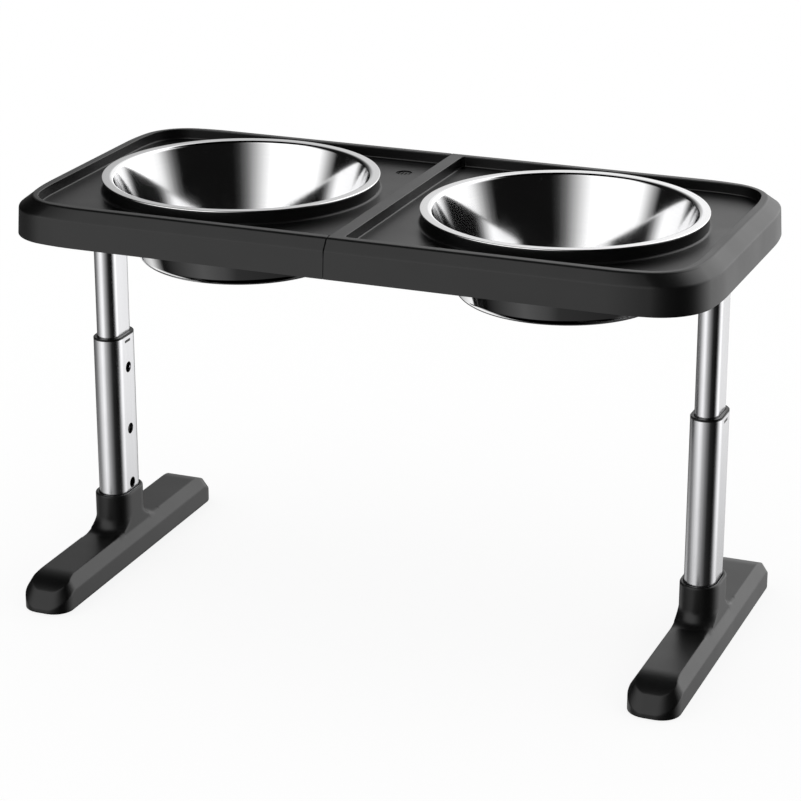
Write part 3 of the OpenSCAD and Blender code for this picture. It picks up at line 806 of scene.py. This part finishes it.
def soft_copy(node, name, body):
    """A rounded copy of a CAD node."""
    piece = new_piece(name)
    bpy.ops.object.mode_set(mode="OBJECT")
    piece.data = frame["nodes"][node].data.copy()
    piece.data.name = name
    bpy.ops.object.mode_set(mode="EDIT")
    outward()
    low, high = in_mm(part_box(node))
    for end in (-1, 1):
        cut(piece, nose_cutter((low[0] + high[0]) / 2, end))
    use("REMESH", mode="VOXEL", voxel_size=FOOT_VOXEL * MM)
    use("SMOOTH", factor=SMOOTHING, iterations=FOOT_PASSES)
    bpy.ops.object.mode_set(mode="EDIT")
    pick("VERT", beside_socket)
    bpy.ops.mesh.vertices_smooth(factor=SMOOTHING, repeat=FLARE_PASSES)
    use("DECIMATE", ratio=FOOT_KEPT)
    complete(piece, body, [node], smooth=50)
    return piece


feet = [soft_copy(name + "_foot", name + "_foot_moulding", "base") for side, name in SIDES]

# %% [markdown]
# Finishes could be painted images, but nodes stay sharp at any size, so they are made of nodes. One function turns a
# hex colour into the linear numbers that a shader works with, one gives the scale of a pattern from its size in
# millimetres, and one adds a node with its settings and links.

# %% Colours, scales and nodes
def linear(hex_colour):
    parts = [int(hex_colour[i:i + 2], 16) / 255 for i in (1, 3, 5)]
    return [c / 12.92 if c <= 0.04045 else ((c + 0.055) / 1.055) ** 2.4 for c in parts] + [1.0]


def scale_of(size):
    """Texture scale at which one feature is about the given size in mm."""
    return 1 / (size * MM)


def node(tree, kind, inputs=None, stops=None, **settings):
    """Adds a node. An input takes a value or another node's output, and a ramp takes its stops."""
    made = tree.nodes.new("ShaderNode" + kind)
    for name, value in settings.items():
        setattr(made, name, value)
    for name, value in (inputs or {}).items():
        if isinstance(value, bpy.types.NodeSocket):
            tree.links.new(value, made.inputs[name])
        else:
            made.inputs[name].default_value = value
    if stops:
        ramp = made.color_ramp.elements
        while len(ramp) < len(stops):
            ramp.new(0.5)
        for stop, (position, colour) in zip(ramp, stops):
            stop.position, stop.color = position, colour
    return made


print("a pattern of 1 mm has scale", round(scale_of(1)))

# %% [markdown]
# Every finish starts and ends alike: a material with the numbers that are the same all over on its shader's sockets,
# and links that bring colour, gloss and relief to that shader.

# %% Starting and linking a finish
def start_finish(name, **sockets):
    """A new material with constants on its shader, its tree and its Object coordinates."""
    made = bpy.data.materials.new(name)
    made.use_nodes = True
    shader = made.node_tree.nodes["Principled BSDF"]
    for socket, value in sockets.items():
        shader.inputs[socket.replace("_", " ")].default_value = value
    place = node(made.node_tree, "TexCoord").outputs["Object"]
    return made, made.node_tree, shader, place


def connect(tree, shader, colour, gloss, relief=None):
    """Links a colour, a gloss and perhaps a relief to the shader."""
    tree.links.new(colour.outputs["Color"], shader.inputs["Base Color"])
    tree.links.new(gloss.outputs["Result"], shader.inputs["Roughness"])
    if relief is not None:
        tree.links.new(relief.outputs["Normal"], shader.inputs["Normal"])


# %% [markdown]
# Tray, feet and fittings are moulded from black ABS. The mould is spark eroded, so the surface has a fine even grain
# that spreads reflections to a satin sheen. One black with one gloss would look like paint, so grain and gloss are
# patterns. The real grain is about 0.2 mm and would not show, so it is drawn coarser and very shallow. A wide, weak
# change of gloss follows the way the melt flowed.

# %% Moulded ABS
plastic, tree, shader, place = start_finish("moulded black ABS", Metallic=0.0)
grain = node(tree, "TexNoise", {"Vector": place, "Scale": scale_of(0.9), "Detail": 2.0}).outputs["Fac"]
flow = node(tree, "TexNoise", {"Vector": place, "Scale": scale_of(45), "Detail": 3.0}).outputs["Fac"]
colour = node(tree, "ValToRGB", {"Fac": flow}, [(0.3, linear("#070707")), (0.7, linear("#0a0a0a"))])
gloss = node(tree, "MapRange", {"Value": flow, "From Min": 0.3, "From Max": 0.7, "To Min": 0.32, "To Max": 0.37})
relief = node(tree, "Bump", {"Height": grain, "Strength": 0.25, "Distance": 0.03 * MM})
connect(tree, shader, colour, gloss, relief)
print(plastic.name, len(tree.nodes), "nodes")

# %% [markdown]
# The bowls are stainless steel, drawn, spun and polished, so they mirror the room. Spinning leaves faint rings round
# the axis. A wave texture would make them all alike, so they are a noise that is read from the distance to the bowl's
# own axis and the height. That is the same sum for both bowls, because one is the mirror image of the other. A weak
# haze is what washing leaves.

# %% Polished steel
steel, tree, shader, place = start_finish("polished stainless steel", Metallic=1.0)
parts = node(tree, "SeparateXYZ", {0: place})
beside = node(tree, "Math", {0: parts.outputs["X"]}, operation="ABSOLUTE")
beside = node(tree, "Math", {0: beside.outputs[0], 1: BOWL_X * MM}, operation="SUBTRACT")
spoke = node(tree, "CombineXYZ", {"X": beside.outputs[0], "Y": parts.outputs["Y"]})
radius = node(tree, "VectorMath", {0: spoke.outputs[0]}, operation="LENGTH")
turned = node(tree, "CombineXYZ", {"X": radius.outputs["Value"], "Y": parts.outputs["Z"]})
rings = node(tree, "TexNoise", {"Vector": turned.outputs[0], "Scale": scale_of(1.6), "Detail": 2.0}).outputs["Fac"]
haze = node(tree, "TexNoise", {"Vector": place, "Scale": scale_of(30), "Detail": 4.0}).outputs["Fac"]
colour = node(tree, "ValToRGB", {"Fac": rings}, [(0.3, linear("#f2f2f3")), (0.7, linear("#f5f5f5"))])
gloss = node(tree, "MapRange", {"Value": haze, "From Min": 0.3, "From Max": 0.7, "To Min": 0.07, "To Max": 0.11})
relief = node(tree, "Bump", {"Height": rings, "Strength": 0.01, "Distance": 0.01 * MM})
connect(tree, shader, colour, gloss, relief)
print(steel.name, len(tree.nodes), "nodes")

# %% [markdown]
# The tubes are extruded aluminium, brushed along their length and anodised clear, which gives soft, pale reflections
# with fine lines in them. Brushing could be an anisotropic gloss, but that shows no single lines, so it is a noise
# that is stretched along Z. It is drawn about 0.7 mm wide, coarser than the real lines, so that it shows at all.

# %% Anodised aluminium
alloy, tree, shader, place = start_finish("satin anodised aluminium", Metallic=1.0)
drawn = node(tree, "Mapping", {"Vector": place, "Scale": (1.0, 1.0, 0.01)})
lines = node(tree, "TexNoise", {"Vector": drawn.outputs[0], "Scale": scale_of(0.7), "Detail": 3.0}).outputs["Fac"]
cloud = node(tree, "TexNoise", {"Vector": place, "Scale": scale_of(25), "Detail": 2.0}).outputs["Fac"]
colour = node(tree, "ValToRGB", {"Fac": lines}, [(0.3, linear("#e2e2e4")), (0.7, linear("#e9e9eb"))])
gloss = node(tree, "MapRange", {"Value": cloud, "From Min": 0.3, "From Max": 0.7, "To Min": 0.18, "To Max": 0.23})
relief = node(tree, "Bump", {"Height": lines, "Strength": 0.15, "Distance": 0.01 * MM})
connect(tree, shader, colour, gloss, relief)
print(alloy.name, len(tree.nodes), "nodes")

# %% [markdown]
# Bolts, nuts and screws stay out of sight from the front. They are zinc plated, which leaves crystals that are drawn
# about 2 mm across and that make the grey a little uneven.

# %% Zinc plate
zinc, tree, shader, place = start_finish("zinc plated steel", Metallic=1.0)
crystals = node(tree, "TexVoronoi", {"Vector": place, "Scale": scale_of(2.0)}).outputs["Distance"]
colour = node(tree, "ValToRGB", {"Fac": crystals}, [(0.0, linear("#9c9ea3")), (0.8, linear("#b4b5b8"))])
gloss = node(tree, "MapRange", {"Value": crystals, "From Max": 0.8, "To Min": 0.28, "To Max": 0.42})
connect(tree, shader, colour, gloss)
print(zinc.name, len(tree.nodes), "nodes")

# %% [markdown]
# The leaf springs inside the tubes are rolled and blued. Rolling leaves lines along the strip, and bluing a dark,
# half glossy grey.

# %% Spring steel
spring, tree, shader, place = start_finish("blued spring steel", Metallic=1.0)
rolled = node(tree, "Mapping", {"Vector": place, "Scale": (1.0, 1.0, 0.02)})
lines = node(tree, "TexNoise", {"Vector": rolled.outputs[0], "Scale": scale_of(0.5), "Detail": 2.0}).outputs["Fac"]
colour = node(tree, "ValToRGB", {"Fac": lines}, [(0.3, linear("#3c4048")), (0.7, linear("#555961"))])
gloss = node(tree, "MapRange", {"Value": lines, "To Min": 0.25, "To Max": 0.4})
connect(tree, shader, colour, gloss)
print(spring.name, len(tree.nodes), "nodes")

# %% [markdown]
# The pads under the feet are moulded rubber. Its skin is slightly rough, so it is dull and a little paler than the
# plastic.

# %% Rubber
rubber, tree, shader, place = start_finish("black rubber", Metallic=0.0)
skin = node(tree, "TexNoise", {"Vector": place, "Scale": scale_of(1.2), "Detail": 3.0}).outputs["Fac"]
colour = node(tree, "ValToRGB", {"Fac": skin}, [(0.3, linear("#0b0b0b")), (0.7, linear("#121212"))])
gloss = node(tree, "MapRange", {"Value": skin, "To Min": 0.62, "To Max": 0.8})
relief = node(tree, "Bump", {"Height": skin, "Strength": 0.4, "Distance": 0.05 * MM})
connect(tree, shader, colour, gloss, relief)
print(rubber.name, len(tree.nodes), "nodes")

# %% [markdown]
# Each CAD node takes the finish of its slot in the record, and each new piece the finish listed for its kind.

# %% Dress every piece
by_slot = {"tray_plastic": plastic, "fitting_plastic": plastic, "bowl_steel": steel, "tube_alloy": alloy,
           "zinc_steel": zinc, "spring_steel": spring, "pad_rubber": rubber}
slot_of = {row["node"]: row["material_slot"] for row in frame["record"]["subparts"]}
for name, obj in frame["nodes"].items():
    obj.data.materials.clear()
    obj.data.materials.append(by_slot[slot_of[name]])
for pieces, finish in ((trays, plastic), (bowls, steel), (tubes, alloy), (feet, plastic)):
    for piece in pieces:
        piece.data.materials.clear()
        piece.data.materials.append(finish)
print(len(by_slot), "slots dressed")

# %% [markdown]
# The room is white. Lamps would leave spots and hard shadows that the photograph doesn't have, so a plain white world
# lights every colour as it is written, from all sides alike.

# %% World
scene = bpy.context.scene
scene.view_settings.view_transform = "Standard"
world = bpy.data.worlds.new("white studio")
scene.world = world
world.use_nodes = True
world.node_tree.nodes["Background"].inputs["Strength"].default_value = 1.0
world.node_tree.nodes["Background"].inputs["Color"].default_value = (1, 1, 1, 1)
print("world", world.name)

# %% [markdown]
# Around the stand hangs a studio tent that only reflections see, since a mirror in an all white room would be plain
# white. Tall white panels stand to the front left and the back right with dark gaps between them. Straight above is
# a dark ceiling, with the same dark spot straight below. The tent gives the steel and the tubes their bands and the
# plastic its dark edges.

# %% Tent
# Brightness of the tent by direction, in degrees from the front (-Y) towards +X, at three heights
PANELS_HIGH = ((-180, 1.0), (-166, 1.0), (-158, 0.7), (-150, 0.5), (-136, 0.1), (-122, 0.01), (-74, 0.005),
               (-66, 0.4), (-54, 1.2), (-8, 1.3), (2, 0.85), (10, 0.48), (18, 0.17), (26, 0.03), (32, 0.005),
               (86, 0.005), (92, 0.1), (97, 0.28), (103, 0.62), (109, 1.0), (132, 1.5), (150, 2.0), (168, 1.75),
               (180, 1.0))
PANELS_LOW = ((-180, 0.15), (-150, 0.1), (-110, 0.12), (-90, 0.2), (-70, 0.45), (-50, 0.9), (-30, 1.35), (-16, 1.15),
              (-4, 0.65), (10, 0.42), (25, 0.2), (44, 0.02), (82, 0.0), (92, 0.1), (108, 0.8), (125, 1.5),
              (140, 1.35), (158, 0.95), (180, 0.8))
PANELS_FLOOR = ((-180, 0.03), (-142, 0.06), (-130, 1.0), (-106, 1.0), (-95, 0.3), (-86, 0.0), (-70, 0.03),
                (-30, 0.09), (0, 0.06), (15, 0.03), (90, 0.02), (120, 0.12), (150, 0.08), (180, 0.05))
HEIGHTS = {"floor": -32, "low_from": -18, "low_to": -12, "high": 4}
CEILING_SHAPE = (0.8, 1.0, 0.0)
CEILING_EDGE = (0.42, 0.54)
TENT_R = 8

bpy.ops.object.select_all(action="DESELECT")
bpy.ops.mesh.primitive_uv_sphere_add(segments=48, ring_count=24, radius=TENT_R)
tent = bpy.context.object
tent.name = "studio tent"
tent.visible_camera = tent.visible_diffuse = tent.visible_shadow = False
print(tent.name, 2 * TENT_R, "m across")

# %% [markdown]
# The cloth of the tent gives off light. Each ring of panels is a colour ramp over the direction, the rings fade into
# each other with the height, and the dark ceiling takes the strength away.

# %% Tent cloth
cloth = bpy.data.materials.new("tent cloth")
cloth.use_nodes = True
tree = cloth.node_tree
tree.nodes.clear()
place = node(tree, "TexCoord").outputs["Object"]
way = node(tree, "VectorMath", {0: place}, operation="NORMALIZE").outputs["Vector"]
parts = node(tree, "SeparateXYZ", {0: way})
front = node(tree, "Math", {0: parts.outputs["Y"], 1: -1.0}, operation="MULTIPLY")
azimuth = node(tree, "Math", {0: parts.outputs["X"], 1: front.outputs[0]}, operation="ARCTAN2")
share = node(tree, "Math", {0: azimuth.outputs[0], 1: 1 / math.tau, 2: 0.5}, operation="MULTIPLY_ADD").outputs[0]


def blend(below, above, start, end):
    """One ring of panels fades into the next between two heights in degrees."""
    rise = node(tree, "MapRange", {"Value": parts.outputs["Z"], "From Min": math.sin(math.radians(start)),
                                   "From Max": math.sin(math.radians(end))})
    return node(tree, "Mix", {"Factor": rise.outputs["Result"], "A": below, "B": above},
                data_type="RGBA").outputs["Result"]


rings = [node(tree, "ValToRGB", {"Fac": share}, [(degrees / 360 + 0.5, (bright, bright, bright, 1))
                                                 for degrees, bright in panels]).outputs["Color"]
         for panels in (PANELS_FLOOR, PANELS_LOW, PANELS_HIGH)]
lower_rings = blend(rings[0], rings[1], HEIGHTS["floor"], HEIGHTS["low_from"])
aside = node(tree, "VectorMath", {0: way, 1: CEILING_SHAPE}, operation="MULTIPLY").outputs["Vector"]
aside = node(tree, "VectorMath", {0: aside}, operation="LENGTH").outputs["Value"]
open_sky = node(tree, "MapRange", {"Value": aside, "From Min": CEILING_EDGE[0], "From Max": CEILING_EDGE[1]},
                interpolation_type="SMOOTHSTEP").outputs["Result"]
all_rings = blend(lower_rings, rings[2], HEIGHTS["low_to"], HEIGHTS["high"])
glow = node(tree, "Emission", {"Color": all_rings, "Strength": open_sky})
node(tree, "OutputMaterial", {"Surface": glow.outputs["Emission"]})
tent.data.materials.append(cloth)
print(cloth.name, len(tree.nodes), "nodes")

# %% [markdown]
# The floor is a pale sheet. With the world's light alone it would show a wide grey shadow, and with none it would show
# no shadow at all. So most of what the camera sees of it is plain white, and the rest takes the world's light, which
# leaves a faint shadow under the stand.

# %% Floor
FLOOR_GLOW, FLOOR_SIZE = 0.86, 60
bpy.ops.object.select_all(action="DESELECT")
bpy.ops.mesh.primitive_plane_add(size=FLOOR_SIZE)
floor = bpy.context.object
floor.name = "floor"
floor.visible_glossy = False
sheet, tree, shader, place = start_finish("pale studio floor", Base_Color=(1, 1, 1, 1), Roughness=1.0,
                                          Specular_IOR_Level=0.0)
path = node(tree, "LightPath")
seen = node(tree, "Math", {0: path.outputs["Is Camera Ray"], 1: FLOOR_GLOW}, operation="MULTIPLY")
glow = node(tree, "Emission", {"Color": (1, 1, 1, 1), "Strength": 1.0})
mix = node(tree, "MixShader", {0: seen.outputs[0], 1: shader.outputs["BSDF"], 2: glow.outputs["Emission"]})
tree.links.new(mix.outputs["Shader"], tree.nodes["Material Output"].inputs["Surface"])
floor.data.materials.append(sheet)
print(floor.name, FLOOR_SIZE, "m wide")

# %% [markdown]
# The camera stands where the photograph's outlines put it. Its focal length was found in pixels, so it is turned into
# millimetres for a sensor as wide as the picture.

# %% Camera
CAMERA_PLACE = (0.8109, -2.0247, 0.9733)
LOOK_DOWN, LOOK_LEFT = 19.954, 21.805
FOCAL_PIXELS, PICTURE_PIXELS, SENSOR = 2737.0, 801, 36.0
eye = bpy.data.cameras.new("camera")
camera = bpy.data.objects.new("camera", eye)
scene.collection.objects.link(camera)
camera.location = CAMERA_PLACE
camera.rotation_euler = (math.radians(90 - LOOK_DOWN), 0.0, math.radians(LOOK_LEFT))
eye.sensor_width = SENSOR
eye.lens = FOCAL_PIXELS / PICTURE_PIXELS * SENSOR
scene.camera = camera
print("lens", round(eye.lens, 1), "mm")
